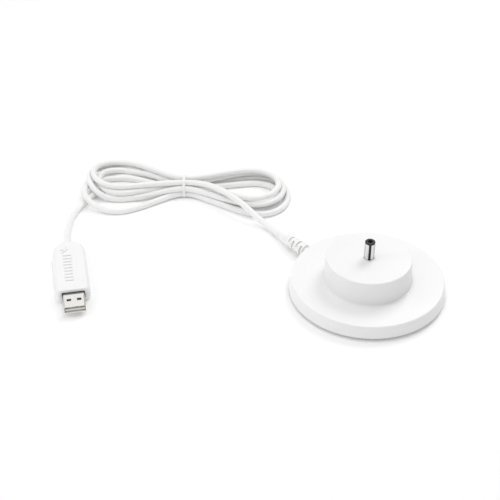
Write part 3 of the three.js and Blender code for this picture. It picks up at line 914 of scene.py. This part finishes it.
def along_plug(name, section, front, back):
    """A section of (across, height) carried along the plug's length."""
    obj = lofted(name, [(section, -back), (section, -front)])
    return placed(obj, Matrix.Rotation(math.radians(90), 4, "X"))


def usb_root():
    """The stretch of the shell next to the housing. It has the shell's slot, and a darker copy of the shell's
    steel as painted shade there.
    """
    front = -PLUG["length"] - USB["root"]
    low, high = USB["bottom"], USB["bottom"] + USB["height"]
    section = ring_section(USB["width"], low, high, USB["edge"])
    root = along_plug("usb_root", section, front, -PLUG["length"] + 2)
    placed(root, plug_place())
    finished(root, "usb_steel", ["usb_shell"])
    # Painted shade: this stretch gets the darker copy of the shell's steel in place of the slot's own.
    root.data.materials.clear()
    root.data.materials.append(MATERIALS["steel_painted_shade"])
    return root


def usb_shell():
    front = -PLUG["length"] - USB["reach"]
    back = -PLUG["length"] - USB["root"]
    low, high, wall = USB["bottom"], USB["bottom"] + USB["height"], USB["wall"]
    shell = along_plug("usb_shell_fine", ring_section(USB["width"], low, high, USB["edge"]), front, back)
    inner = ring_section(USB["width"] - 2 * wall, low + wall, high - wall, USB["edge"] - wall)
    cut(shell, along_plug("inside", inner, front - 1, back + 1))
    middle = front + USB_WINDOW["from_tip"]
    half_across, half_along = USB_WINDOW["across"] / 2, USB_WINDOW["along"] / 2
    for x in (-USB_WINDOW["spread"], USB_WINDOW["spread"]):
        low_corner = (x - half_across, middle - half_along, low - 1)
        high_corner = (x + half_across, middle + half_along, high + 1)
        cut(shell, block("window", low_corner, high_corner))
    placed(shell, plug_place())
    return finished(shell, "usb_steel", ["usb_shell"])


def usb_tongue():
    front = -PLUG["length"] - USB["reach"] + TONGUE["from_tip"]
    half = USB["width"] / 2 - USB["wall"] - TONGUE["clearance"]
    low = USB["bottom"] + USB["wall"] + TONGUE["clearance"]
    high_corner = (half, -PLUG["length"] + TONGUE["inward"], low + TONGUE["thickness"])
    tongue = block("tongue", (-half, front, low), high_corner, 0.25)
    placed(tongue, plug_place())
    return finished(tongue, "white_tongue", ["usb_tongue"])


def usb_contacts():
    low = USB["bottom"] + USB["wall"] + TONGUE["clearance"] + TONGUE["thickness"] + CONTACT["lift"]
    front = -PLUG["length"] - USB["reach"] + CONTACT["from_tip"]
    half = CONTACT["width"] / 2
    made = []
    for i, x in enumerate((-3.5, -1, 1, 3.5)):
        tip = front + (0 if abs(x) > 2 else 1)
        low_corner = (x - half, tip, low - CONTACT["lift"])
        high_corner = (x + half, -PLUG["length"] + CONTACT["inward"], low + CONTACT["height"])
        strip = block(f"contact_strip_{i + 1}", low_corner, high_corner, 0.08, 2)
        placed(strip, plug_place())
        made.append(finished(strip, "contact_gold", [f"usb_contact_{i + 1}"]))
    return made


# ---- what the looks leave as the CAD has it ----

def dress_cad_nodes():
    """Gives every CAD node that is still shown its slot's material."""
    slots = {part["node"]: part["material_slot"] for part in frame["record"]["subparts"]}
    for name, obj in frame["nodes"].items():
        obj.data.materials.clear()
        obj.data.materials.append(MATERIALS[slots[name]])


# ---- floor and light ----

def floor():
    """A plain white table that glows a little, which keeps its far side white."""
    obj = block("floor", (-3000, -3000, -10), (3000, 3000, 0))
    shader = Shader("floor_white", (0.93, 0.93, 0.93), 0.9)
    shader.tint(shader.noise(2, 2), (0.93, 0.93, 0.93), (0.94, 0.94, 0.94))
    surface = shader.surface.inputs
    surface["Specular IOR Level"].default_value = 0.1
    surface["Emission Color"].default_value = (1, 1, 1, 1)
    surface["Emission Strength"].default_value = 0.05
    obj.data.materials.append(shader.material)


def area_light(name, location, target, size, power):
    """A round lamp, its size in metres and its power in watts."""
    data = bpy.data.lights.new(name, "AREA")
    data.shape = "DISK"
    data.size = size
    data.energy = power
    light = bpy.data.objects.new(name, data)
    light.location = location
    light.rotation_euler = (Vector(target) - Vector(location)).to_track_quat("-Z", "Y").to_euler()
    bpy.context.scene.collection.objects.link(light)


def surroundings():
    """A white tent, brightest overhead, to the left and in front, and darkest low down at the back right."""
    world = bpy.data.worlds.new("tent")
    world.use_nodes = True
    nodes, links = world.node_tree.nodes, world.node_tree.links
    place = nodes.new("ShaderNodeTexCoord")
    towards = nodes.new("ShaderNodeVectorMath")
    towards.operation = "DOT_PRODUCT"
    towards.inputs[1].default_value = (-0.22, -0.16, 0.16)
    strength = nodes.new("ShaderNodeMath")
    strength.operation = "ADD"
    strength.inputs[1].default_value = 0.56
    background = nodes["Background"]
    background.inputs["Color"].default_value = (1, 1, 1, 1)
    links.new(place.outputs["Generated"], towards.inputs[0])
    links.new(towards.outputs["Value"], strength.inputs[0])
    links.new(strength.outputs["Value"], background.inputs["Strength"])
    bpy.context.scene.world = world


def lights():
    area_light("back", (0.284, 0.44, 0.595), (-0.06, 0.03, 0), 0.4, 2.1)
    area_light("overhead", (-0.06, 0.09, 0.7), (-0.06, 0.03, 0), 0.15, 0.8)
    area_light("card", (-0.32, 0.74, 0.63), (-0.16, -0.02, 0), 0.4, 0.13)
    area_light("left", (-0.45, -0.02, 0.25), (-0.165, 0, 0), 0.2, 0.22)
    surroundings()
    bpy.context.scene.view_settings.view_transform = "Standard"


# ---- the whole scene ----

add_camera()
MATERIALS = all_materials()
line = lead_line()
cord = lead(line)
relief = strain_relief()
band = tie_band(line)
halves = plug_shells()
shell = usb_shell()
root = usb_root()
tongue = usb_tongue()
strips = usb_contacts()
base_cover()
foot_ring()
barrel_sleeve()
barrel_core()
dress_cad_nodes()
floor()
lights()
